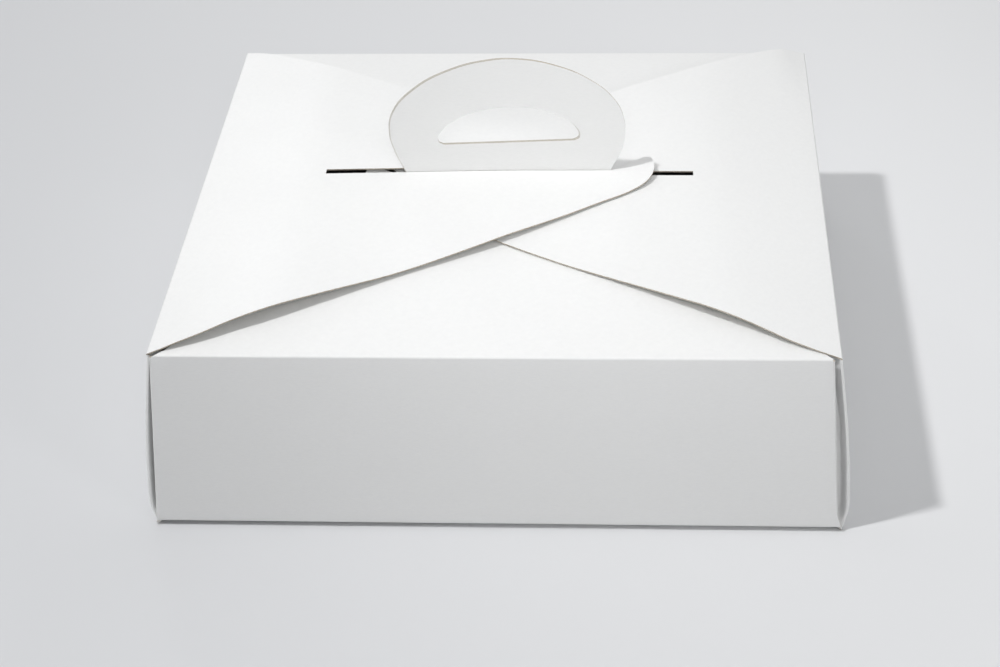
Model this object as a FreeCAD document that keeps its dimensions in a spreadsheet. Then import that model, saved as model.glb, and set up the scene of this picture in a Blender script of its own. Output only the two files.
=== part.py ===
import FreeCAD, Part
import math
import os
from types import SimpleNamespace

import Sketcher
from FreeCAD import Placement, Rotation, Vector

# Pizza box folded from one sheet of white coated board. The front and rear flaps end in the two
# upright plies of the carrying handle, and the side flaps slot over it and hook behind it.
# Millimetres.
# X runs from the left wall to the right wall, Y from the front wall to the rear wall, Z upwards.
# The origin is the middle of the base, at the surface that the box stands on.

# The driving sizes. Each goes into one cell of the sheet.
SIZES = {
    # Sheet and clearances
    "board": 0.6,
    "layer_gap": 0.3,
    # Walls: a square base, and walls that lean in to a slightly smaller square of top folds
    "base_side": 300.0,
    "top_side": 292.0,
    "wall_rise": 86.0,
    "side_swell": 2.6,
    "swell_rise": 15.0,
    "side_belly": 1.2,
    # Corners: the end panel stops short of the side wall, and the web folds in behind it
    "panel_inset": 1.8,
    "foot_rise": 8.0,
    "foot_inset": 1.4,
    "web_reach": 82.0,
    # Side flaps in section: a ramp from the fold, a soft bend, then a nearly level inner part
    "ramp_run": 40.0,
    "ramp_angle": 8.5,
    "bend_run": 22.0,
    "left_tilt": 1.2,
    "right_tilt": 0.0,
    "corner_inset": 0.8,
    # Side flaps in plan, for the left one, from the middle of the box
    "edge_bend_across": 46.6,
    "edge_bend_along": 92.0,
    "edge_mid_across": 8.0,
    "edge_mid_along": 70.5,
    "edge_end_across": 27.3,
    "edge_end_along": 42.2,
    "lobe_start_across": 58.6,
    "lobe_start_along": 17.0,
    "lobe_reach": 67.8,
    "lobe_tip_setback": 2.3,
    "lobe_tip_along": 11.2,
    "lobe_clearance": 2.9,
    "lobe_waist": 3.6,
    "lobe_waist_along": 5.2,
    "lobe_play": 18.4,
    "slot_width": 3.6,
    "rear_end_across": 42.0,
    "rear_end_along": 77.0,
    "rear_bend_inset": 13.0,
    "rear_bend_setback": 4.5,
    # Handle plies, measured from the left flap's top face, where they stand out of the slot
    "handle_root": 48.0,
    "handle_flank": 52.6,
    "handle_flank_rise": 10.0,
    "handle_half_width": 54.4,
    "handle_wide_rise": 21.0,
    "shoulder_half_width": 50.4,
    "shoulder_rise": 35.0,
    "crest_half_width": 40.6,
    "crest_rise": 44.3,
    "handle_height": 57.5,
    "ply_gap": 0.3,
    "ply_shift": 0.6,
    "handle_tilt": 1.2,
    # Hand hole in the handle
    "hole_floor_half": 29.5,
    "hole_floor_rise": 15.0,
    "hole_half_width": 32.6,
    "hole_corner_rise": 16.6,
    "hole_side_rise": 20.0,
    "hole_top_rise": 32.5,
    # Front and rear flaps: in section, then in plan
    "end_ramp_run": 50.0,
    "end_ramp_angle": 5.5,
    "end_bend_run": 30.0,
    "end_flap_root_inset": 7.0,
    "end_flap_knee": 104.0,
    "end_flap_margin": 4.0,
}

# A thickness of tool shape that is sure to pass the whole box, as a multiple of the base's side
PAST_ALL = 2

LEVEL = Placement()
FRONT = Placement(Vector(), Rotation(Vector(1, 0, 0), 90))
SIDE = Placement(Vector(), Rotation(Vector(1, 1, 1), 120))
ACROSS = Vector(1, 0, 0)
ALONG = Vector(0, 1, 0)
UP = Vector(0, 0, 1)


class Length:
    """A length worked out from the sheet, kept as its number and as the sheet's own sum."""

    def __init__(self, number, text):
        self.number = number
        self.text = text

    def __add__(self, other):
        other = as_length(other)
        return Length(self.number + other.number, f"({self.text} + {other.text})")

    def __sub__(self, other):
        other = as_length(other)
        return Length(self.number - other.number, f"({self.text} - {other.text})")

    def __mul__(self, other):
        other = as_length(other)
        return Length(self.number * other.number, f"({self.text} * {other.text})")

    def __truediv__(self, other):
        other = as_length(other)
        return Length(self.number / other.number, f"({self.text} / {other.text})")

    def __neg__(self):
        return self * -1


def as_length(value):
    if isinstance(value, Length):
        return value
    return Length(float(value), f"({float(value)})")


def slope(angle):
    """Rise for each millimetre of run, of a line at an angle kept in degrees."""
    return Length(math.tan(math.radians(angle.number)), f"tan({angle.text} * 1 deg)")


class Via:
    """A point that the arc between its two neighbours passes through."""

    def __init__(self, x, y):
        self.x = as_length(x)
        self.y = as_length(y)


doc = FreeCAD.newDocument("PizzaBox")


def make_sheet():
    sheet = doc.addObject("Spreadsheet::Sheet", "Sizes")
    for row, (alias, number) in enumerate(SIZES.items(), start=1):
        sheet.set(f"A{row}", alias.replace("_", " "))
        sheet.set(f"B{row}", str(number))
        sheet.setAlias(f"B{row}", alias)
    doc.recompute()
    return SimpleNamespace(
        **{alias: Length(number, f"Sizes.{alias}") for alias, number in SIZES.items()}
    )


def pin(sketch, geometry, end, x, y):
    """Holds one point of a sketch at its worked-out place."""
    for kind, length in (("DistanceX", x), ("DistanceY", y)):
        index = sketch.addConstraint(Sketcher.Constraint(kind, geometry, end, length.number))
        name = f"{kind[-1].lower()}_{geometry}_{end}"
        sketch.renameConstraint(index, name)
        sketch.setExpression(f"Constraints.{name}", length.text)


def arc_through(start, via, end):
    """The arc from start through via to end, and whether it runs anticlockwise."""
    circle = Part.Arc(start, via, end).toShape().Curve
    centre = circle.Center
    turn = (via - start).cross(end - via).z
    first, last = (start, end) if turn > 0 else (end, start)
    angles = [math.atan2(point.y - centre.y, point.x - centre.x) for point in (first, last)]
    full = Part.Circle(centre, Vector(0, 0, 1), circle.Radius)
    return Part.ArcOfCircle(full, angles[0], angles[1]), turn > 0


def draw(sketch, points, closed=True):
    """Draws lines between corners, or an arc where a Via stands between two corners."""
    corners = [point for point in points if not isinstance(point, Via)]
    corners = [(as_length(x), as_length(y)) for x, y in corners]
    vias = {}
    corner = -1
    for point in points:
        if isinstance(point, Via):
            vias[corner] = point
        else:
            corner += 1
    last = len(corners) if closed else len(corners) - 1
    ends = []
    for number in range(last):
        here = corners[number]
        there = corners[(number + 1) % len(corners)]
        start = Vector(here[0].number, here[1].number, 0)
        end = Vector(there[0].number, there[1].number, 0)
        if number in vias:
            via = vias[number]
            middle = Vector(via.x.number, via.y.number, 0)
            arc, forward = arc_through(start, middle, end)
            index = sketch.addGeometry(arc)
            ends.append((index, 1, 2) if forward else (index, 2, 1))
            mark = sketch.addGeometry(Part.Point(middle), True)
            pin(sketch, mark, 1, via.x, via.y)
            sketch.addConstraint(Sketcher.Constraint("PointOnObject", mark, 1, index))
        else:
            index = sketch.addGeometry(Part.LineSegment(start, end))
            ends.append((index, 1, 2))
        pin(sketch, index, ends[-1][1], here[0], here[1])
    joins = zip(ends, ends[1:] + ends[:1]) if closed else zip(ends, ends[1:])
    for (index, _, finish), (following, begin, _) in joins:
        sketch.addConstraint(
            Sketcher.Constraint("Coincident", index, finish, following, begin)
        )
    if not closed:
        pin(sketch, ends[-1][0], ends[-1][2], corners[-1][0], corners[-1][1])


def sketch_on(name, plane):
    sketch = doc.addObject("Sketcher::SketchObject", name)
    sketch.Placement = plane
    return sketch


def extrude(name, base, direction, length, symmetric=False):
    solid = doc.addObject("Part::Extrusion", name)
    solid.Base = base
    solid.DirMode = "Custom"
    solid.Dir = direction
    solid.Symmetric = symmetric
    solid.Solid = True
    solid.setExpression("LengthFwd", as_length(length).text)
    return solid


def sheet_strip(name, line, side, direction, width):
    """A strip of board bent along a line drawn as one face of the sheet."""
    section = doc.addObject("Part::Offset2D", f"{name}_section")
    section.Source = line
    section.Mode = "Skin"
    section.Join = "Intersection"
    section.Fill = True
    section.setExpression("Value", (size.board * side).text)
    return extrude(name, section, direction, width, symmetric=True)


def combine(kind, name, parts):
    result = doc.addObject(kind, name)
    if kind == "Part::Cut":
        result.Base, result.Tool = parts
    else:
        result.Shapes = parts
    return result


def common(name, *parts):
    return combine("Part::MultiCommon", name, list(parts))


def mirrored(name, source, normal):
    copy = doc.addObject("Part::Mirroring", name)
    copy.Source = source
    copy.Base = Vector()
    copy.Normal = normal
    return copy


def whole_width():
    return size.base_side * PAST_ALL


def side_wall_face(side, inset=0):
    """A side wall's outer face above its foot, or a line inside it: a low swell, then a belly."""
    foot = size.base_side / 2 - inset
    swell = foot + size.side_swell
    top = size.top_side / 2 - inset
    rise = size.swell_rise
    return [
        Via((foot + size.side_swell * 3 / 4) * side, rise / 2),
        (swell * side, rise),
        Via(((swell + top) / 2 + size.side_belly) * side, (rise + size.wall_rise) / 2),
    ]


def make_side_walls():
    """Base and both side walls, bent as one strip, with ends set back behind the webs."""
    half_base = size.base_side / 2
    half_top = size.top_side / 2
    line = sketch_on("side_walls_line", FRONT)
    draw(
        line,
        [
            (-half_top, size.wall_rise - size.layer_gap),
            *side_wall_face(-1)[::-1],
            (-half_base, 0),
            (half_base, 0),
            *side_wall_face(1),
            (half_top, size.wall_rise),
        ],
        closed=False,
    )
    strip = sheet_strip("side_walls_strip", line, 1, ALONG, whole_width())
    set_back = (size.board + size.layer_gap) * 2
    outline = sketch_on("side_walls_outline", SIDE)
    draw(
        outline,
        [
            (-half_base + set_back, 0),
            (half_base - set_back, 0),
            (half_top - set_back, size.wall_rise),
            (-half_top + set_back, size.wall_rise),
        ],
    )
    trim = extrude("side_walls_trim", outline, ACROSS, whole_width(), symmetric=True)
    return common("side_walls", strip, trim)


def panel_edge(side):
    """One upright edge of the front wall, from its foot to its top fold."""
    foot = (size.base_side / 2 - size.foot_inset) * side
    top = (size.top_side / 2 - size.panel_inset) * side
    return [((size.base_side / 2) * side, 0), (foot, size.foot_rise), (top, size.wall_rise)]


def make_end_walls():
    """Base, front wall and rear wall, bent as one strip, with the panels' tapered edges."""
    half_base = size.base_side / 2
    half_top = size.top_side / 2
    line = sketch_on("end_walls_line", SIDE)
    draw(
        line,
        [
            (-half_top, size.wall_rise),
            (-half_base, 0),
            (half_base, 0),
            (half_top, size.wall_rise),
        ],
        closed=False,
    )
    strip = sheet_strip("end_walls_strip", line, -1, ACROSS, whole_width())
    outline = sketch_on("end_walls_outline", FRONT)
    draw(outline, panel_edge(1) + panel_edge(-1)[::-1])
    trim = extrude("end_walls_trim", outline, ALONG, whole_width(), symmetric=True)
    return common("end_walls", strip, trim)


def leaning_layer(name, depth, thickness):
    """A flat layer parallel to the front wall, from depth behind its outer face."""
    half_base = size.base_side / 2
    half_top = size.top_side / 2
    section = sketch_on(f"{name}_layer_section", SIDE)
    draw(
        section,
        [
            (-half_base + depth, 0),
            (-half_base + depth + thickness, 0),
            (-half_top + depth + thickness, size.wall_rise),
            (-half_top + depth, size.wall_rise),
        ],
    )
    return extrude(f"{name}_layer", section, ACROSS, whole_width(), symmetric=True)


def web_piece(name, depth, thickness, points):
    outline = sketch_on(f"{name}_outline", FRONT)
    draw(outline, points)
    trim = extrude(f"{name}_trim", outline, ALONG, whole_width(), symmetric=True)
    return common(name, leaning_layer(name, depth, thickness), trim)


def make_web():
    """The web of the front right corner: folded double, flat behind the front wall."""
    pitch = size.board + size.layer_gap
    top = size.wall_rise - pitch
    inset = size.board / 2
    corner = (size.base_side / 2 - inset, inset)
    _, (foot_x, foot_z), (fold_x, _) = panel_edge(1)
    reach_x = fold_x - size.web_reach
    near = web_piece(
        "web_near_half",
        pitch,
        size.board,
        [corner, (foot_x, foot_z), (fold_x, top), (reach_x, top)],
    )
    far = web_piece(
        "web_far_half",
        pitch * 2,
        size.board,
        [corner, *side_wall_face(1, inset), (size.top_side / 2 - inset, top), (reach_x, top)],
    )
    panel_fold = web_piece(
        "web_panel_fold",
        size.board / 2,
        pitch,
        [
            (foot_x, foot_z),
            (fold_x, top),
            (fold_x - size.board, top),
            (foot_x - size.board, foot_z),
        ],
    )
    diagonal_fold = web_piece(
        "web_diagonal_fold",
        pitch + size.board / 2,
        pitch,
        [
            corner,
            (reach_x + size.board * 2, top),
            (reach_x, top),
            (size.base_side / 2 - size.board * 2, inset),
        ],
    )
    return [near, far, panel_fold, diagonal_fold]


def make_webs():
    front_right = combine("Part::MultiFuse", "web_front_right", make_web())
    front_left = mirrored("web_front_left", front_right, ACROSS)
    rear_right = mirrored("web_rear_right", front_right, ALONG)
    rear_left = mirrored("web_rear_left", front_left, ALONG)
    return [front_right, front_left, rear_right, rear_left]


def end_flap_underside():
    """Height of the level part of the front and rear flaps, where the handle plies stand."""
    run = size.end_ramp_run + size.end_bend_run / 2
    return size.wall_rise - size.board + slope(size.end_ramp_angle) * run


def make_front_flap():
    """The front flap: a trapezoid that dips at its fold and reaches under the side flaps."""
    rise = slope(size.end_ramp_angle)
    under = size.wall_rise - size.board
    fold = -size.top_side / 2
    bend_start = fold + size.end_ramp_run
    bend_end = bend_start + size.end_bend_run
    bend_z = under + rise * size.end_ramp_run
    level_z = end_flap_underside()
    end = size.ply_gap / -2
    line = sketch_on("front_flap_line", SIDE)
    draw(
        line,
        [
            (fold, under),
            (bend_start, bend_z),
            Via(bend_start + size.end_bend_run / 2, bend_z + rise * size.end_bend_run * 3 / 8),
            (bend_end, level_z),
            (end, level_z),
        ],
        closed=False,
    )
    strip = sheet_strip("front_flap_strip", line, -1, ACROSS, whole_width())
    root = size.top_side / 2 - size.end_flap_root_inset
    tip = size.handle_root + size.end_flap_margin
    outline = sketch_on("front_flap_outline", LEVEL)
    draw(
        outline,
        [
            (-root, fold),
            (root, fold),
            (size.end_flap_knee, bend_start),
            (tip, end),
            (-tip, end),
            (-size.end_flap_knee, bend_start),
        ],
    )
    trim = extrude("front_flap_trim", outline, UP, whole_width())
    return common("front_flap", strip, trim)


def flap_root(side):
    """Where a side flap's underside starts: the right one on its wall, the left one above it."""
    half_top = size.top_side / 2
    if side > 0:
        return half_top, size.wall_rise - size.board
    return -half_top + size.board / 2, size.wall_rise


def flap_tilt(side):
    return size.right_tilt if side > 0 else size.left_tilt


def flap_level_start(side):
    """Where a side flap's underside stops bending, as a place and a height."""
    root_x, root_z = flap_root(side)
    bend = (slope(size.ramp_angle) + slope(flap_tilt(side))) / 2
    x = root_x - (size.ramp_run + size.bend_run) * side
    z = root_z + slope(size.ramp_angle) * size.ramp_run + bend * size.bend_run
    return x, z


def flap_underside(side, x):
    """Height of a side flap's nearly level inner part at a place across the box."""
    start_x, start_z = flap_level_start(side)
    return start_z + (start_x - x) * side * slope(flap_tilt(side))


def make_flap_strip(name, side):
    root_x, root_z = flap_root(side)
    level_x, level_z = flap_level_start(side)
    bend_x = root_x - size.ramp_run * side
    bend_z = root_z + slope(size.ramp_angle) * size.ramp_run
    early = (slope(size.ramp_angle) * 3 + slope(flap_tilt(side))) / 8
    end_x = size.lobe_reach * -side
    line = sketch_on(f"{name}_line", FRONT)
    draw(
        line,
        [
            (root_x, root_z),
            (bend_x, bend_z),
            Via(bend_x - size.bend_run * side / 2, bend_z + early * size.bend_run),
            (level_x, level_z),
            (end_x, flap_underside(side, end_x)),
        ],
        closed=False,
    )
    return sheet_strip(f"{name}_strip", line, -side, ALONG, whole_width())


def make_flap_outline(name, side):
    """A side flap in plan: a long front arm that hooks behind the handle, and a slot for it."""
    front = -(size.ply_gap / 2 + size.board + size.layer_gap)
    root_x, _ = flap_root(side)
    root_y = size.top_side / 2 - size.corner_inset
    slot_mid = size.slot_width / 2
    slot_end = size.lobe_reach + size.lobe_play
    lobe_root = size.handle_half_width + size.lobe_clearance
    points = [
        (root_x * -side, -root_y),
        (-size.edge_bend_across, -size.edge_bend_along),
        Via(-size.edge_mid_across, -size.edge_mid_along),
        (size.edge_end_across, -size.edge_end_along),
        (size.lobe_start_across, -size.lobe_start_along),
        Via(size.lobe_reach, 0),
        (size.lobe_reach - size.lobe_tip_setback, size.lobe_tip_along),
        Via(lobe_root + size.lobe_waist, size.lobe_waist_along),
        (lobe_root, front),
        (-slot_end, front),
        Via(-slot_end - slot_mid, front + slot_mid),
        (-slot_end, front + size.slot_width),
        (-size.rear_end_across, front + size.slot_width),
        (-size.rear_end_across, size.rear_end_along),
        (root_x * -side + size.rear_bend_inset, size.top_side / 2 - size.rear_bend_setback),
        (root_x * -side, root_y),
    ]
    outline = sketch_on(f"{name}_outline", LEVEL)
    draw(outline, [on_side(point, side) for point in points])
    return extrude(f"{name}_trim", outline, UP, whole_width())


def on_side(point, side):
    """A point of the left flap, or its mirror image on the right flap."""
    if isinstance(point, Via):
        return Via(point.x * -side, point.y)
    return as_length(point[0]) * -side, as_length(point[1])


def make_handle_ply(name, side):
    """One upright ply of the handle, with its hand hole, standing on its end flap's fold."""
    shift = size.ply_shift * -1 if side > 0 else size.ply_shift * 0
    lean = slope(size.handle_tilt)
    crown = flap_underside(-1, as_length(0)) + size.board

    def at(x, rise):
        return as_length(x) + shift, crown + lean * x + rise

    def via(x, rise):
        return Via(*at(x, rise))

    foot = size.handle_root
    rim = [
        at(-foot, 0),
        via(-size.handle_flank, size.handle_flank_rise),
        at(-size.handle_half_width, size.handle_wide_rise),
        via(-size.shoulder_half_width, size.shoulder_rise),
        at(-size.crest_half_width, size.crest_rise),
        via(as_length(0), size.handle_height),
        at(size.crest_half_width, size.crest_rise),
        via(size.shoulder_half_width, size.shoulder_rise),
        at(size.handle_half_width, size.handle_wide_rise),
        via(size.handle_flank, size.handle_flank_rise),
        at(foot, 0),
        (foot + shift, end_flap_underside()),
        (-foot + shift, end_flap_underside()),
    ]
    hole = [
        at(-size.hole_floor_half, size.hole_floor_rise),
        at(size.hole_floor_half, size.hole_floor_rise),
        via(size.hole_half_width, size.hole_corner_rise),
        at(size.hole_half_width, size.hole_side_rise),
        via(as_length(0), size.hole_top_rise),
        at(-size.hole_half_width, size.hole_side_rise),
        via(-size.hole_half_width, size.hole_corner_rise),
    ]
    outline = sketch_on(f"{name}_outline", FRONT)
    outline.setExpression("Placement.Base.y", (size.ply_gap / 2 * side).text)
    draw(outline, rim)
    draw(outline, hole)
    return extrude(name, outline, ALONG * side, size.board)


def make_side_flap(name, side):
    return common(f"{name}_sheet", make_flap_strip(name, side), make_flap_outline(name, side))


def finish(label, parts):
    solid = combine("Part::MultiFuse", label, parts)
    solid.Refine = True
    solid.Label = label
    return solid


def check(nodes):
    doc.recompute()
    for thing in doc.Objects:
        if "Invalid" in thing.State or "Error" in thing.State:
            raise RuntimeError(f"{thing.Name} did not build: {thing.State}")
    for node in nodes:
        if node.Shape.isNull() or not node.Shape.isValid():
            raise RuntimeError(f"{node.Label} has no valid shape")
        print(node.Label, len(node.Shape.Solids), round(node.Shape.Volume, 1), node.Shape.BoundBox)


def main():
    front_flap = make_front_flap()
    carton = finish(
        "carton",
        [make_side_walls(), make_end_walls()]
        + make_webs()
        + [front_flap, mirrored("rear_flap", front_flap, ALONG)]
        + [make_handle_ply("front_ply", -1), make_handle_ply("rear_ply", 1)]
        + [make_side_flap("right_flap", 1)],
    )
    left_flap = make_side_flap("left_flap", -1)
    left_flap.Label = "left_flap"
    nodes = [carton, left_flap]
    check(nodes)
    os.makedirs("parts", exist_ok=True)
    for node in nodes:
        node.Shape.exportStep(f"parts/{node.Label}.step")


size = make_sheet()
main()
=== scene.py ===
import math

import bpy
from mathutils import Matrix, Vector


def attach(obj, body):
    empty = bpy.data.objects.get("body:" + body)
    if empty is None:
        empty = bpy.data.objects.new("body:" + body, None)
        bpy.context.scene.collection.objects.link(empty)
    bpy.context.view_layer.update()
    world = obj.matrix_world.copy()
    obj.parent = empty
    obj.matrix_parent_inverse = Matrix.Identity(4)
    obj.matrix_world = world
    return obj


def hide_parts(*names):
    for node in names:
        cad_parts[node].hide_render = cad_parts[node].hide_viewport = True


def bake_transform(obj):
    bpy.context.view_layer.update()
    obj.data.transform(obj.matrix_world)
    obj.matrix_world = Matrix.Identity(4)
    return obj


# Looks of a pizza box folded from one sheet of white coated board, in metres, in the frame's axes.
# Each panel starts as a flat die-cut blank, is scored where it bends, folded, and given its
# thickness, so every fold is round and every cut edge shows the grey fibre core.

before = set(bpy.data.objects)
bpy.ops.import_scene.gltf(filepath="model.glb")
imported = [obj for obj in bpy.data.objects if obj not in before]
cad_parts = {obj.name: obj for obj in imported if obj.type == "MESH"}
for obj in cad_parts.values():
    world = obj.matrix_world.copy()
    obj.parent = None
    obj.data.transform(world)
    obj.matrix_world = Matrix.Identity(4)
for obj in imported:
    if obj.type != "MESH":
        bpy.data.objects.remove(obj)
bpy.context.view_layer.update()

MM = 0.001

# The sheet
BOARD = 0.6 * MM
LAYER_GAP = 0.3 * MM
FOLD_RADIUS = 1.0 * MM
HEM_RADIUS = 0.75 * MM
VALLEY_RADIUS = 0.5 * MM

# How finely the blanks are drawn and scored
CURVE_STEPS = 6
HALVINGS = 50
WELD = 0.01 * MM
SCORE_STEP = 4.0 * MM
SCORE_ANGLE = math.radians(9)
CROSS_STEP = 5.0 * MM
PLY_STEP = 8.0 * MM
SMOOTH_ANGLE = math.radians(35)

# Walls. A swell is a corner of the side wall's section: distance out, height, radius.
# An end panel's foot and top are half widths, at the left (-1) and at the right (1).
HALF_BASE = 150.0 * MM
HALF_TOP = 146.0 * MM
WALL_RISE = 86.0 * MM
SIDE_SWELL = (152.7 * MM, 10.5 * MM, 28.0 * MM)
SIDE_BELLY = (151.3 * MM, 42.0 * MM, 480.0 * MM)
BASE_MARGIN = 2.0 * MM
FOOT_NOTCH = 0.8 * MM
FOLD_NOTCH = 0.6 * MM
FLAP_NOTCH = 0.3 * MM
BASE_LIFT = 2.0 * MM
BASE_LIFT_RUN = 24.0 * MM
BASE_LIFT_RADIUS = 192.0 * MM
PANEL_FOOT_RISE = 8.0 * MM
PANEL_FOOT = {-1: 149.4 * MM, 1: 147.4 * MM}
PANEL_TOP = {-1: 144.6 * MM, 1: 142.8 * MM}
WEB_BOTTOM = 0.9 * MM
WEB_TOP = 85.1 * MM
WEB_REACH = 62.2 * MM
WEB_SIDE_RADIUS = 1.2 * MM
WEB_RECESS = 3.4 * MM
WEB_RECESS_OUTER_RUN = 2.64 * MM
WEB_RECESS_INNER_RUN = 7.2 * MM
WEB_TAIL = 0.024 * MM

# Flaps in section, and the half widths of the front and rear flaps along their length
SIDE_RAMP_RUN = 40.0 * MM
SIDE_BEND_RUN = 22.0 * MM
SIDE_RAMP_ANGLE = math.radians(8.5)
LEFT_TILT = math.radians(1.2)
LEFT_ROOT = (145.9 * MM, 86.57 * MM)
END_RAMP_RUN = 50.0 * MM
END_BEND_RUN = 30.0 * MM
END_RAMP_ANGLE = math.radians(5.5)
END_SHOULDERS = [(FOLD_NOTCH, 142.0 * MM), (4.0 * MM, 138.5 * MM)]
END_KNEE = 104.0 * MM
END_TIP = 52.0 * MM

# Side flaps in plan, for the left one: distance left of the box's middle, then place along it
LONG_EDGE = [
    (125.0, -136.7), (112.0, -129.4), (99.0, -122.4), (87.0, -115.4), (67.0, -103.4),
    (46.6, -91.6), (20.6, -76.4), (1.5, -64.2), (-13.1, -53.3), (-27.3, -42.2),
    (-41.8, -30.4), (-58.6, -17.0), (-64.6, -10.5), (-67.4, -4.0), (-68.0, 1.4), (-67.4, 6.0),
]
LOBE_BACK = [(-66.0, 9.4), (-64.0, 9.7), (-60.8, 7.7), (-56.6, 4.6), (-52.1, 1.4)]
LOBE_ROOT = 48.3
HANDLE_ROOT = 48.0
SLOT_END = 86.2
SLOT_FRONT = -1.05
SLOT_REAR = 3.09
SHORT_END = (42.0, 77.0)
SHORT_EDGE = [
    (51.3, 83.6), (64.8, 93.2), (79.9, 103.5), (99.7, 117.3), (120.1, 131.9), (129.5, 138.4),
    (137.5, 142.6),
]
FLAP_CORNER = 145.2

# Handle in front view, at the front ply: distance right of the middle, then height
HANDLE_RIM = [
    (-52.4, 105.4), (-54.6, 115.4), (-52.6, 126.2), (-42.4, 138.0), (-25.6, 147.6), (-8.6, 152.4),
    (5.0, 153.2), (22.0, 150.2), (38.6, 142.8), (49.4, 133.2), (53.8, 124.0), (54.4, 114.6),
    (52.4, 105.6),
]
HOLE_FLOOR = [(-29.6, 109.6), (31.0, 111.9)]
HOLE_ARCH = [
    (33.5, 113.6), (32.4, 118.2), (23.4, 124.8), (12.0, 128.4), (1.0, 129.0), (-9.6, 127.8),
    (-22.6, 123.0), (-30.6, 116.4), (-32.3, 111.4),
]
PLY_GAP = 0.3 * MM
PLY_HEIGHT = 64.0 * MM
PLY_SHIFT = 0.7 * MM

# Where a side flap stands off its flat shape: place in plan, radius, height. The lift eases in
# over a short way from the fold.
LEFT_WAVES = [
    (-112.0, -126.0, 34.0, 1.9), (-46.0, -88.0, 28.0, -1.5), (38.0, -30.0, 30.0, -1.7),
    (58.0, -16.0, 16.0, -1.4), (64.0, 4.0, 10.0, 0.5), (0.0, -62.0, 14.0, 0.5),
]
RIGHT_WAVES = [
    (112.0, 146.0, 42.0, 3.4), (50.0, 96.0, 40.0, 2.6), (104.0, -118.0, 30.0, 1.2),
    (-62.0, 1.0, 12.0, -1.6), (34.0, -82.0, 26.0, -0.65),
]
WAVE_EASE = 12.0 * MM


class Section:
    """The coated face of bent board seen end on: straight runs joined by round folds."""

    def __init__(self, corners):
        self.parts = []
        self.folds = []
        self.length = 0.0
        position = Vector(corners[0][:2])
        for here, after in zip(corners[1:-1], corners[2:]):
            turn = Vector(here[:2])
            inward = (turn - position).normalized()
            outward = (Vector(after[:2]) - turn).normalized()
            angle = -inward.angle_signed(outward)
            tangent = here[2] * math.tan(abs(angle) / 2)
            heading = math.atan2(inward.y, inward.x)
            self.add(position, heading, (turn - position).length - tangent, 0.0)
            start = self.length
            bend = math.copysign(1 / here[2], angle)
            self.add(turn - inward * tangent, heading, here[2] * abs(angle), bend)
            self.folds.append((start, self.length))
            position = turn + outward * tangent
        last = Vector(corners[-1][:2])
        heading = math.atan2((last - position).y, (last - position).x)
        self.add(position, heading, (last - position).length, 0.0)

    def add(self, position, heading, length, bend):
        self.parts.append((self.length, position, heading, length, bend))
        self.length += length

    def at(self, along):
        """The place at a length along the board."""
        start, position, heading, _, bend = next(
            (part for part in reversed(self.parts) if part[0] <= along), self.parts[0]
        )
        run = along - start
        if not bend:
            return position + Vector((math.cos(heading), math.sin(heading))) * run
        turned = heading + run * bend
        return position + Vector(
            (
                (math.sin(turned) - math.sin(heading)) / bend,
                (math.cos(heading) - math.cos(turned)) / bend,
            )
        )

    def reach(self, value, axis, low, high):
        """The length along the board, from low to high, where one coordinate has a value."""
        rising = self.at(high)[axis] > self.at(low)[axis]
        for _ in range(HALVINGS):
            middle = (low + high) / 2
            if (self.at(middle)[axis] < value) == rising:
                low = middle
            else:
                high = middle
        return (low + high) / 2

    def scores(self):
        """Places of the score lines: close together where the board bends."""
        places = []
        for start, _, _, length, bend in self.parts:
            by_length = math.ceil(length / SCORE_STEP)
            by_angle = math.ceil(length * abs(bend) / SCORE_ANGLE)
            steps = max(1, by_length, by_angle)
            places += [start + length * step / steps for step in range(steps)]
        return places[1:]


def use(piece):
    bpy.ops.object.select_all(action="DESELECT")
    piece.select_set(True)
    bpy.context.view_layer.objects.active = piece


def corner(x, y):
    return (x, y, "VECTOR")


def rounded(x, y):
    return (x, y, "AUTO")


def die_cut(name, *loops):
    """A flat blank of board, cut along closed outlines. The first is the rim, others are holes."""
    bpy.ops.object.select_all(action="DESELECT")
    bpy.ops.curve.primitive_bezier_curve_add()
    drawing = bpy.context.object
    drawing.data.splines.clear()
    drawing.data.dimensions = "2D"
    drawing.data.resolution_u = CURVE_STEPS
    drawing.data.fill_mode = "BOTH" if len(loops) > 1 else "NONE"
    for loop in loops:
        spline = drawing.data.splines.new("BEZIER")
        spline.bezier_points.add(len(loop) - 1)
        spline.use_cyclic_u = True
        for knot, (x, y, kind) in zip(spline.bezier_points, loop):
            knot.co = (x, y, 0)
            knot.handle_left_type = kind
            knot.handle_right_type = kind
    bpy.ops.object.convert(target="MESH")
    piece = bpy.context.object
    piece.name = name
    bpy.ops.object.mode_set(mode="EDIT")
    bpy.ops.mesh.select_all(action="SELECT")
    bpy.ops.mesh.remove_doubles(threshold=WELD)
    if len(loops) == 1:
        bpy.ops.mesh.edge_face_add()
    bpy.ops.object.mode_set(mode="OBJECT")
    if piece.data.polygons[0].normal.z < 0:
        flip(piece)
    return piece


def score(piece, axis, places):
    """Scores straight lines across a flat blank, so that it can bend there."""
    use(piece)
    bpy.ops.object.mode_set(mode="EDIT")
    across = Vector((1, 0, 0)) if axis == 0 else Vector((0, 1, 0))
    for place in places:
        bpy.ops.mesh.select_all(action="SELECT")
        bpy.ops.mesh.bisect(plane_co=across * place, plane_no=across)
    bpy.ops.object.mode_set(mode="OBJECT")


def spaced(low, high, step):
    count = max(1, round((high - low) / step))
    return [low + (high - low) * number / count for number in range(count + 1)]


def lay(piece, place):
    """Moves each point of a flat blank to its place on the folded box."""
    for vertex in piece.data.vertices:
        vertex.co = place(vertex.co.x, vertex.co.y)
    piece.data.update()


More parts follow.
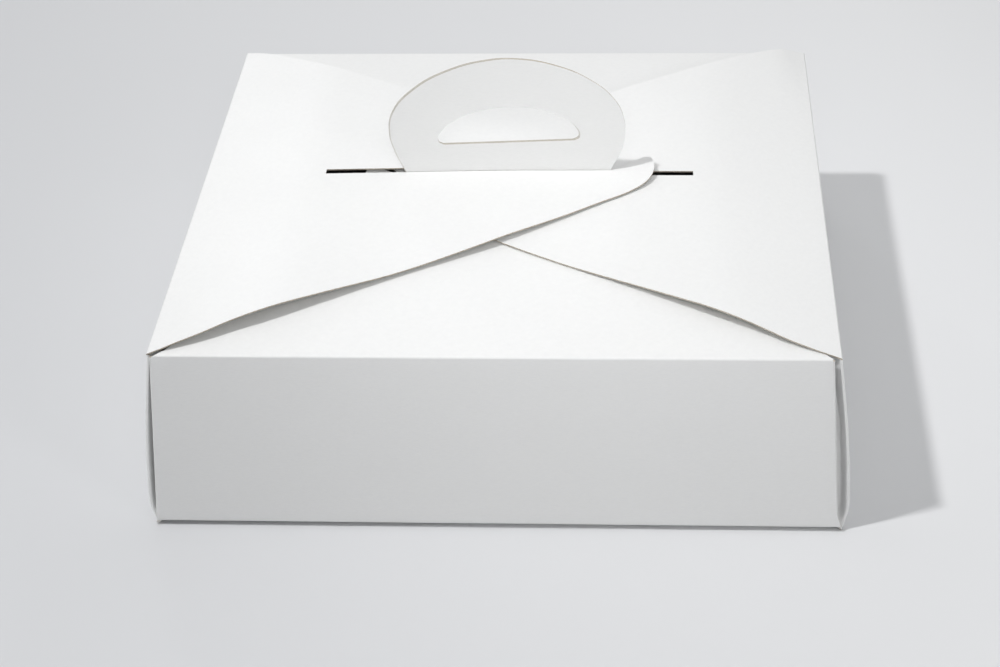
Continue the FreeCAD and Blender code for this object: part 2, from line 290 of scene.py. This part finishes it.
def apply(piece, kind, **values):
    use(piece)
    modifier = piece.modifiers.new(kind.lower(), kind)
    for key, value in values.items():
        setattr(modifier, key, value)
    bpy.ops.object.modifier_apply(modifier=modifier.name)


def thicken(piece):
    """Gives a folded blank its thickness, with its uncoated side and its cut edges."""
    for finish in FINISHES:
        piece.data.materials.append(finish)
    apply(
        piece,
        "SOLIDIFY",
        thickness=BOARD,
        offset=-1,
        use_even_offset=True,
        material_offset=1,
        material_offset_rim=2,
    )
    return piece


def join(name, pieces):
    bpy.ops.object.select_all(action="DESELECT")
    for piece in pieces:
        piece.select_set(True)
    bpy.context.view_layer.objects.active = pieces[0]
    if len(pieces) > 1:
        bpy.ops.object.join()
    whole = bpy.context.object
    whole.name = name
    bpy.ops.object.shade_smooth_by_angle(angle=SMOOTH_ANGLE)
    return whole


def side_section(root, tilt):
    """Base edge, swollen side wall and flap, as distance from the box's middle and height."""
    top = Vector(root)
    ramp_end = top.x - SIDE_RAMP_RUN - SIDE_BEND_RUN / 2
    ramp_top = top.y + (SIDE_RAMP_RUN + SIDE_BEND_RUN / 2) * math.tan(SIDE_RAMP_ANGLE)
    soft = SIDE_BEND_RUN / 2 / math.tan((SIDE_RAMP_ANGLE - tilt) / 2)
    far = -HALF_TOP / 2
    return Section(
        [
            (HALF_BASE - BASE_MARGIN, 0),
            (HALF_BASE, 0, FOLD_RADIUS),
            SIDE_SWELL,
            SIDE_BELLY,
            (top.x, top.y, FOLD_RADIUS),
            (ramp_end, ramp_top, soft),
            (far, ramp_top + (ramp_end - far) * math.tan(tilt)),
        ]
    )


def end_section():
    """Half of the base, the front wall and the front flap."""
    bend = HALF_TOP - END_RAMP_RUN - END_BEND_RUN / 2
    level = WALL_RISE + (END_RAMP_RUN + END_BEND_RUN / 2) * math.tan(END_RAMP_ANGLE)
    soft = END_BEND_RUN / 2 / math.tan(END_RAMP_ANGLE / 2)
    return Section(
        [
            (0, 0),
            (HALF_BASE - BASE_LIFT_RUN, 0, BASE_LIFT_RADIUS),
            (HALF_BASE, BASE_LIFT, FOLD_RADIUS),
            (HALF_TOP, WALL_RISE, FOLD_RADIUS),
            (bend, level, soft),
            (PLY_GAP / 2 + BOARD + VALLEY_RADIUS * 2, level),
        ]
    )


def ply_section():
    """The valley fold where a handle ply turns up from its flap: depth from its hidden face."""
    face = -BOARD
    return Section([(face - 2 * VALLEY_RADIUS, 0), (face, 0, VALLEY_RADIUS), (face, PLY_HEIGHT)])


# Which fold of a section is which
SIDE_FOOT, _, _, SIDE_TOP, SIDE_KNEE = range(5)
_, END_FOOT, END_TOP, _ = range(4)

RIGHT = side_section((HALF_TOP, WALL_RISE), 0.0)
LEFT = side_section(LEFT_ROOT, LEFT_TILT)
END = end_section()
PLY = ply_section()


def flap_height(side, x):
    """Height of a side flap's top face on its nearly level inner part."""
    section = RIGHT if side > 0 else LEFT
    low, high = section.folds[SIDE_KNEE][1], section.length
    start, finish = section.at(low), section.at(high)
    share = (x * side - start.x) / (finish.x - start.x)
    return start.y + (finish.y - start.y) * share


def flap_outline(side, root):
    """A side flap's blank from its root: long edge, hook, slot for the handle, short edge."""
    section = RIGHT if side > 0 else LEFT

    def along(across):
        return section.reach(across * MM, 0, section.folds[SIDE_TOP][0], section.length)

    points = [corner(root, -FLAP_CORNER * MM)]
    points += [rounded(along(across), place * MM) for across, place in LONG_EDGE]
    points += [rounded(along(across), place * MM) for across, place in LOBE_BACK]
    for across, place in [
        (-LOBE_ROOT, SLOT_FRONT),
        (SLOT_END, SLOT_FRONT),
        (SLOT_END, SLOT_REAR),
        (HANDLE_ROOT, SLOT_REAR),
        (SHORT_END[0], SLOT_REAR),
        SHORT_END,
    ]:
        points.append(corner(along(across), place * MM))
    points += [rounded(along(across), place * MM) for across, place in SHORT_EDGE]
    points.append(corner(root, FLAP_CORNER * MM))
    return points


def wave(side, x, y):
    """How far a side flap stands off its flat shape at a place in plan."""
    ease = min(1.0, max(0.0, (HALF_TOP - x * side) / WAVE_EASE))
    total = 0.0
    for at_x, at_y, radius, height in RIGHT_WAVES if side > 0 else LEFT_WAVES:
        apart = math.hypot(x - at_x * MM, y - at_y * MM) / (radius * MM)
        total += height * MM * math.exp(-(apart ** 2))
    return total * ease


def side_place(side):
    section = RIGHT if side > 0 else LEFT
    flap_start = section.folds[SIDE_TOP][1]

    def place(along, beside):
        at = section.at(along)
        lift = wave(side, at.x * side, beside) if along > flap_start else 0.0
        return Vector((at.x * side, beside, at.y + lift))

    return place


def wall_outline(root):
    """A side wall's blank up to a length along it, with ends that follow the leaning end walls."""
    foot_end = HALF_BASE - 2 * (BOARD + LAYER_GAP) - WEB_SIDE_RADIUS
    top_end = foot_end - (HALF_BASE - HALF_TOP)
    return [(0, foot_end), (RIGHT.folds[SIDE_FOOT][1], foot_end), (root, top_end)]


def flip(piece):
    use(piece)
    bpy.ops.object.mode_set(mode="EDIT")
    bpy.ops.mesh.select_all(action="SELECT")
    bpy.ops.mesh.flip_normals()
    bpy.ops.object.mode_set(mode="OBJECT")


def scored_blank(name, outline, section, place):
    blank = die_cut(name, outline)
    lows = [point[0] for point in outline]
    sides = [point[1] for point in outline]
    score(blank, 0, [at for at in section.scores() if min(lows) < at < max(lows)])
    score(blank, 1, spaced(min(sides), max(sides), CROSS_STEP)[1:-1])
    lay(blank, place)
    return blank


def make_right_side():
    root = sum(RIGHT.folds[SIDE_TOP]) / 2 - FLAP_NOTCH
    wall = wall_outline(root)
    outline = [corner(along, -end) for along, end in wall]
    outline += flap_outline(1, root)
    outline += [corner(along, end) for along, end in reversed(wall)]
    right_side = scored_blank("right_side", outline, RIGHT, side_place(1))
    flip(right_side)
    return right_side


def make_left_wall():
    wall = wall_outline(LEFT.folds[SIDE_TOP][0])
    outline = [corner(along, -end) for along, end in wall]
    outline += [corner(along, end) for along, end in reversed(wall)]
    return scored_blank("left_wall", outline, LEFT, side_place(-1))


def make_left_flap():
    outline = flap_outline(-1, LEFT.folds[SIDE_TOP][1])
    return scored_blank("left_flap_sheet", outline, LEFT, side_place(-1))


def make_left_fold():
    start, end = LEFT.folds[SIDE_TOP]
    half = FLAP_CORNER * MM
    outline = [corner(start, -half), corner(end, -half), corner(end, half), corner(start, half)]
    return scored_blank("left_fold", outline, LEFT, side_place(-1))


def make_end_strip():
    """Base, end walls and end flaps: the front half, then its mirror image behind."""
    foot, top = [sum(END.folds[fold]) / 2 for fold in (END_FOOT, END_TOP)]
    knee = END.reach(HALF_TOP - END_RAMP_RUN, 0, top, END.length)
    base_half = HALF_BASE - BASE_MARGIN

    def edge(side):
        return [
            (0, base_half),
            (foot - BASE_MARGIN, base_half),
            (foot - FOOT_NOTCH, HALF_BASE - HEM_RADIUS),
            (foot, HALF_BASE - HEM_RADIUS),
            (foot + PANEL_FOOT_RISE, PANEL_FOOT[side] - HEM_RADIUS),
            (top - FOLD_NOTCH, PANEL_TOP[side] - HEM_RADIUS),
            *((top + past, half) for past, half in END_SHOULDERS),
            (knee, END_KNEE),
            (END.length, END_TIP),
        ]

    outline = [corner(along, -half) for along, half in edge(1)]
    outline += [corner(along, half) for along, half in reversed(edge(-1))]

    def place(along, beside):
        at = END.at(along)
        return Vector((-beside, -at.x, at.y))

    strip = scored_blank("end_strip", outline, END, place)
    apply(strip, "MIRROR", use_axis=(False, True, False), merge_threshold=WELD)
    return strip


# The stretches of a web from the end wall's edge to the side wall, with their counts of strips
WEB_STEPS = {"hem": 8, "near": 8, "diagonal": 8, "far": 48, "fold": 9, "tail": 1}
WEB_ROWS = 42


def web_spot(side, stage, share, rise):
    """A point of a front web's coated face: which stretch, how far along it, how high."""
    lean = (HALF_BASE - HALF_TOP) * rise / WALL_RISE
    edge = HALF_BASE + (PANEL_FOOT[side] - HALF_BASE) * min(1, rise / PANEL_FOOT_RISE)
    if rise > PANEL_FOOT_RISE:
        climbed = (rise - PANEL_FOOT_RISE) / (WALL_RISE - PANEL_FOOT_RISE)
        edge = PANEL_FOOT[side] + (PANEL_TOP[side] - PANEL_FOOT[side]) * climbed
    crease = HALF_BASE - (HALF_BASE - WEB_REACH) * rise / WEB_TOP
    section = RIGHT if side > 0 else LEFT
    wall = section.at(section.reach(rise, 1, 0, section.folds[SIDE_TOP][0])).x
    hem = min(HEM_RADIUS, (edge - crease) / 3)
    near = HEM_RADIUS * 2
    far = near + LAYER_GAP
    inner = LAYER_GAP / 2
    fold_x = wall - WEB_SIDE_RADIUS
    if stage == "hem":
        angle = share * math.pi
        x = edge - hem + hem * math.sin(angle)
        depth = HEM_RADIUS * (1 - math.cos(angle))
    elif stage == "near":
        x = edge - hem + (crease - edge + hem) * share
        depth = near
    elif stage == "diagonal":
        angle = share * math.pi
        x = crease - inner * math.sin(angle)
        depth = near + inner * (1 - math.cos(angle))
    elif stage == "far":
        x = crease + (fold_x - crease) * share
        hollow = min(1.0, (fold_x - x) / WEB_RECESS_OUTER_RUN)
        hollow *= min(1.0, max(0.0, x - crease) / WEB_RECESS_INNER_RUN)
        hollow *= min(1.0, rise / PANEL_FOOT_RISE)
        depth = far + WEB_RECESS * hollow ** 2 * (3 - 2 * hollow)
    elif stage == "fold":
        angle = share * math.pi / 2
        x = fold_x + WEB_SIDE_RADIUS * math.sin(angle)
        depth = far + WEB_SIDE_RADIUS * (1 - math.cos(angle))
    else:
        x = wall
        depth = far + WEB_SIDE_RADIUS + WEB_TAIL * share
    return Vector((x * side, -HALF_BASE + lean + depth, rise))


def make_web(side):
    """The web at a front corner, doubled between end wall and side wall, and its twin behind."""
    steps = sum(WEB_STEPS.values())
    bpy.ops.object.select_all(action="DESELECT")
    bpy.ops.mesh.primitive_grid_add(x_subdivisions=steps, y_subdivisions=WEB_ROWS, size=1)
    web = bpy.context.object
    web.name = "right_webs" if side > 0 else "left_webs"

    def place(x, y):
        step = round((x + 0.5) * steps)
        rise = WEB_BOTTOM + (WEB_TOP - WEB_BOTTOM) * (y + 0.5)
        for stage, count in WEB_STEPS.items():
            if step <= count:
                return web_spot(side, stage, step / count, rise)
            step -= count

    lay(web, place)
    if side < 0:
        flip(web)
    apply(web, "MIRROR", use_axis=(False, True, False), use_mirror_merge=False)
    return web


def make_ply(side):
    """One upright ply of the handle. The rear one stands a little to the left of the front one."""
    shift = PLY_SHIFT if side > 0 else 0.0
    floor = END.at(END.length).y

    def along_at(height):
        return PLY.reach(height - floor, 1, 0, PLY.length)

    def spot(x, height, kind):
        return kind(along_at(height * MM), shift - x * MM)

    half = HANDLE_ROOT * MM
    roots = [along_at(flap_height(-1, x)) for x in (half, -half)]
    outline = [corner(0, half + shift), corner(roots[1], half + shift)]
    outline += [spot(x, height, rounded) for x, height in HANDLE_RIM]
    outline += [corner(roots[0], shift - half), corner(0, shift - half)]
    hole = [spot(x, height, corner) for x, height in HOLE_FLOOR]
    hole += [spot(x, height, rounded) for x, height in HOLE_ARCH]
    name = "rear_ply" if side > 0 else "front_ply"
    ply = die_cut(name, outline, hole)
    score(ply, 0, [at for at in PLY.scores() if at < PLY.length])
    score(ply, 1, spaced(-half, half, PLY_STEP))

    def place(along, beside):
        at = PLY.at(along)
        depth = at.x - PLY_GAP / 2
        return Vector((-beside, -depth * side, floor + at.y))

    lay(ply, place)
    if side > 0:
        flip(ply)
    return ply


def new_material(name):
    material = bpy.data.materials.new(name)
    material.use_nodes = True
    shader = material.node_tree.nodes["Principled BSDF"]
    return material, material.node_tree, shader


def add_node(tree, kind, numbers=None, **settings):
    """A new node, with its settings and the numbers of its named sockets."""
    node = tree.nodes.new(kind)
    for key, value in settings.items():
        setattr(node, key, value)
    for name, number in (numbers or {}).items():
        node.inputs[name].default_value = number
    return node


def noise(tree, vector, scale, detail=4.0, roughness=0.55):
    numbers = {"Scale": scale, "Detail": detail, "Roughness": roughness}
    node = add_node(tree, "ShaderNodeTexNoise", numbers)
    tree.links.new(vector, node.inputs["Vector"])
    return node.outputs["Fac"]


def ranged(tree, value, low, high, to_low=0.0, to_high=1.0):
    numbers = {"From Min": low, "From Max": high, "To Min": to_low, "To Max": to_high}
    node = add_node(tree, "ShaderNodeMapRange", numbers)
    tree.links.new(value, node.inputs["Value"])
    return node.outputs["Result"]


def mixed(tree, share, first, second):
    node = add_node(tree, "ShaderNodeMix", data_type="RGBA")
    colours = [socket for socket in node.inputs if socket.type == "RGBA"]
    for socket, colour in zip(colours, (first, second)):
        socket.default_value = (*colour, 1)
    tree.links.new(share, node.inputs["Factor"])
    return next(socket for socket in node.outputs if socket.type == "RGBA")


def bumped(tree, height, distance, strength, normal=None):
    numbers = {"Strength": strength, "Distance": distance}
    node = add_node(tree, "ShaderNodeBump", numbers)
    tree.links.new(height, node.inputs["Height"])
    if normal is not None:
        tree.links.new(normal, node.inputs["Normal"])
    return node.outputs["Normal"]


def object_place(tree, turn=(0, 0, 0), stretch=(1, 1, 1)):
    """The place on the object, turned and stretched for a pattern."""
    place = add_node(tree, "ShaderNodeTexCoord").outputs["Object"]
    node = add_node(tree, "ShaderNodeMapping", {"Rotation": turn, "Scale": stretch})
    tree.links.new(place, node.inputs["Vector"])
    return node.outputs["Vector"]


# Colours of the board and the table, each from darker to lighter; the table's two are painted
# shade and painted light
COAT = [(0.864, 0.866, 0.862), (0.896, 0.898, 0.892)]
RAW_SIDE = [(0.72, 0.70, 0.66), (0.80, 0.79, 0.76)]
CORE = [(0.42, 0.37, 0.30), (0.60, 0.55, 0.47)]
TABLE_PAINTED_SHADE_TO_LIGHT = [(0.655, 0.662, 0.678), (0.87, 0.875, 0.885)]

# How the fibres of the coat, the grain of the raw side and the table's shading lie
FIBRE_TURN = (0, math.radians(40), math.radians(35))
FIBRE_STRETCH = (1, 1, 5)
GRAIN_TURN = (0, 0, 0.3)
GRAIN_STRETCH = (1, 6, 1)
TABLE_PAINTED_LIGHT_TURN = (0, 0, math.radians(-15))
TABLE_PAINTED_LIGHT_SPAN = (-0.24, 0.30)


def coated_board():
    """The printed side: white clay coat with a soft gloss over faint fibres."""
    material, tree, shader = new_material("coated_board")
    plain = object_place(tree)
    slanted = object_place(tree, FIBRE_TURN, FIBRE_STRETCH)
    fibre = noise(tree, slanted, scale=420.0, detail=6.0, roughness=0.65)
    mottle = ranged(tree, fibre, 0.3, 0.7)
    tree.links.new(mixed(tree, mottle, *COAT), shader.inputs["Base Color"])
    sheen = ranged(tree, noise(tree, plain, scale=24.0), 0.3, 0.7, to_low=0.40, to_high=0.48)
    tree.links.new(sheen, shader.inputs["Roughness"])
    ripple = bumped(tree, noise(tree, plain, scale=16.0, detail=2.0), 0.8 * MM, 0.12)
    tree.links.new(bumped(tree, fibre, 0.12 * MM, 0.5, ripple), shader.inputs["Normal"])
    return material


def inner_board():
    """The uncoated side: off-white, matt and fibrous."""
    material, tree, shader = new_material("inner_board")
    grain = object_place(tree, GRAIN_TURN, GRAIN_STRETCH)
    flecks = ranged(tree, noise(tree, grain, scale=260.0, detail=6.0, roughness=0.7), 0.35, 0.7)
    tree.links.new(mixed(tree, flecks, *reversed(RAW_SIDE)), shader.inputs["Base Color"])
    shader.inputs["Roughness"].default_value = 0.85
    fibre = noise(tree, object_place(tree), scale=700.0, detail=5.0, roughness=0.7)
    tree.links.new(bumped(tree, fibre, 0.08 * MM, 0.5), shader.inputs["Normal"])
    return material


def cut_edge():
    """The core where the die cut it: grey-brown fibre."""
    material, tree, shader = new_material("cut_edge")
    strands = ranged(tree, noise(tree, object_place(tree), scale=1500.0), 0.35, 0.65)
    tree.links.new(mixed(tree, strands, *CORE), shader.inputs["Base Color"])
    shader.inputs["Roughness"].default_value = 0.9
    tree.links.new(bumped(tree, strands, 0.05 * MM, 0.5), shader.inputs["Normal"])
    return material


def floor_painted_light():
    """A pale smooth table top with painted light: its colour gets brighter towards the right and
    the back.
    """
    material, tree, shader = new_material("floor_painted_light")
    across = add_node(tree, "ShaderNodeSeparateXYZ")
    tree.links.new(object_place(tree, TABLE_PAINTED_LIGHT_TURN), across.inputs["Vector"])
    # painted light: the table's colour runs from painted shade to painted light across it
    share = ranged(tree, across.outputs["X"], *TABLE_PAINTED_LIGHT_SPAN)
    tree.links.new(mixed(tree, share, *TABLE_PAINTED_SHADE_TO_LIGHT), shader.inputs["Base Color"])
    shader.inputs["Roughness"].default_value = 0.6
    return material


FLOOR_SIZE = 8
FLOOR_DROP = 0.1 * MM


def make_floor():
    bpy.ops.object.select_all(action="DESELECT")
    bpy.ops.mesh.primitive_plane_add(size=FLOOR_SIZE, location=(0, 0, -FLOOR_DROP))
    floor = bpy.context.object
    floor.name = "floor"
    bpy.ops.object.transform_apply(location=True, rotation=False, scale=True)
    floor.data.materials.append(floor_painted_light())


# The photograph's camera: its turns, its distance from the middle of the base and its framing
CAMERA_YAW = math.radians(4.251)
CAMERA_PITCH = math.radians(32.486)
CAMERA_ROLL = math.radians(-1.977)
CAMERA_DISTANCE = 1138.2 * MM
CAMERA_ASIDE = -6.83 * MM
CAMERA_ABOVE = 4.15 * MM
CAMERA_LENS = 83.53
CAMERA_SENSOR = 36.0
CAMERA_NEAR = 50.0 * MM


def make_camera():
    back = Vector(
        (
            math.sin(CAMERA_YAW) * math.cos(CAMERA_PITCH),
            -math.cos(CAMERA_YAW) * math.cos(CAMERA_PITCH),
            math.sin(CAMERA_PITCH),
        )
    )
    level = Vector((0, 0, 1)).cross(back).normalized()
    upward = back.cross(level)
    right = level * math.cos(CAMERA_ROLL) + upward * math.sin(CAMERA_ROLL)
    upward = back.cross(right)
    eye = back * CAMERA_DISTANCE + right * CAMERA_ASIDE + upward * CAMERA_ABOVE
    bpy.ops.object.camera_add()
    camera = bpy.context.object
    axes = Matrix((right, upward, back)).transposed()
    camera.matrix_world = Matrix.Translation(eye) @ axes.to_4x4()
    camera.data.lens = CAMERA_LENS
    camera.data.sensor_width = CAMERA_SENSOR
    camera.data.clip_start = CAMERA_NEAR
    bpy.context.scene.camera = camera


# A lamp high on the left, a soft one near the front right corner, a low window behind on the
# left, and a spot on the handle
KEY_AT = Vector((-0.85, -0.42, 1.85))
KEY_SIZE = 0.11
KEY_POWER = 19.3
FILL_AT = Vector((0.62, -0.80, 0.48))
FILL_SIZE = 0.2
FILL_POWER = 1.05
WINDOW_AT = Vector((-0.75, 1.95, 0.90))
WINDOW_SIZE = 0.30
WINDOW_POWER = 1.8
SPOT_AT = Vector((0.08, -0.55, 0.47))
SPOT_AIM = Vector((0.025, 0, 0.12))
SPOT_CONE = math.radians(36)
SPOT_SIZE = 0.14
SPOT_POWER = 5.4
SKY_TINT = (0.985, 0.992, 1.0, 1)
SKY_LEVEL = 0.205
SKY_SLOPE = (0.05, 0.22, 0.42)


def add_lamp(kind, place, target, power):
    bpy.ops.object.light_add(type=kind, location=place)
    lamp = bpy.context.object
    lamp.rotation_euler = (place - target).to_track_quat("Z", "Y").to_euler()
    lamp.data.energy = power
    lamp.visible_camera = False
    return lamp.data


def make_lamps():
    top = Vector((0, 0, WALL_RISE))
    front = Vector((0, -HALF_BASE, WALL_RISE / 2))
    add_lamp("AREA", KEY_AT, top, KEY_POWER).size = KEY_SIZE
    add_lamp("AREA", FILL_AT, front, FILL_POWER).size = FILL_SIZE
    add_lamp("AREA", WINDOW_AT, top, WINDOW_POWER).size = WINDOW_SIZE
    spot = add_lamp("SPOT", SPOT_AT, SPOT_AIM, SPOT_POWER)
    spot.spot_size = SPOT_CONE
    spot.spot_blend = 1.0
    spot.shadow_soft_size = SPOT_SIZE


def make_sky():
    """A plain sky, brighter overhead than at the horizon."""
    world = bpy.data.worlds.new("studio")
    bpy.context.scene.world = world
    world.use_nodes = True
    tree = world.node_tree
    sky = tree.nodes["Background"]
    sky.inputs["Color"].default_value = SKY_TINT
    place = add_node(tree, "ShaderNodeTexCoord").outputs["Generated"]
    lean = add_node(tree, "ShaderNodeVectorMath", operation="DOT_PRODUCT")
    lean.inputs[1].default_value = SKY_SLOPE
    tree.links.new(place, lean.inputs[0])
    level = ranged(tree, lean.outputs["Value"], -SKY_LEVEL, 1.0, 0.0, 1.0 + SKY_LEVEL)
    tree.links.new(level, sky.inputs["Strength"])


FINISHES = [coated_board(), inner_board(), cut_edge()]

box_sheets = [make_end_strip(), make_right_side(), make_left_wall()]
box_sheets += [make_web(-1), make_web(1), make_ply(-1), make_ply(1)]
box_board = join("box_board", [thicken(sheet) for sheet in box_sheets])
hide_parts("carton")
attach(box_board, "box")

flap_board = join("top_flap_board", [thicken(make_left_flap())])
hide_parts("left_flap")
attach(flap_board, "top_flap")

fold_board = join("top_flap_fold", [thicken(make_left_fold())])
fold_start, fold_end = [LEFT.at(along) for along in LEFT.folds[SIDE_TOP]]
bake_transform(fold_board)

make_floor()
make_camera()
make_lamps()
make_sky()
bpy.context.scene.view_settings.view_transform = "Standard"
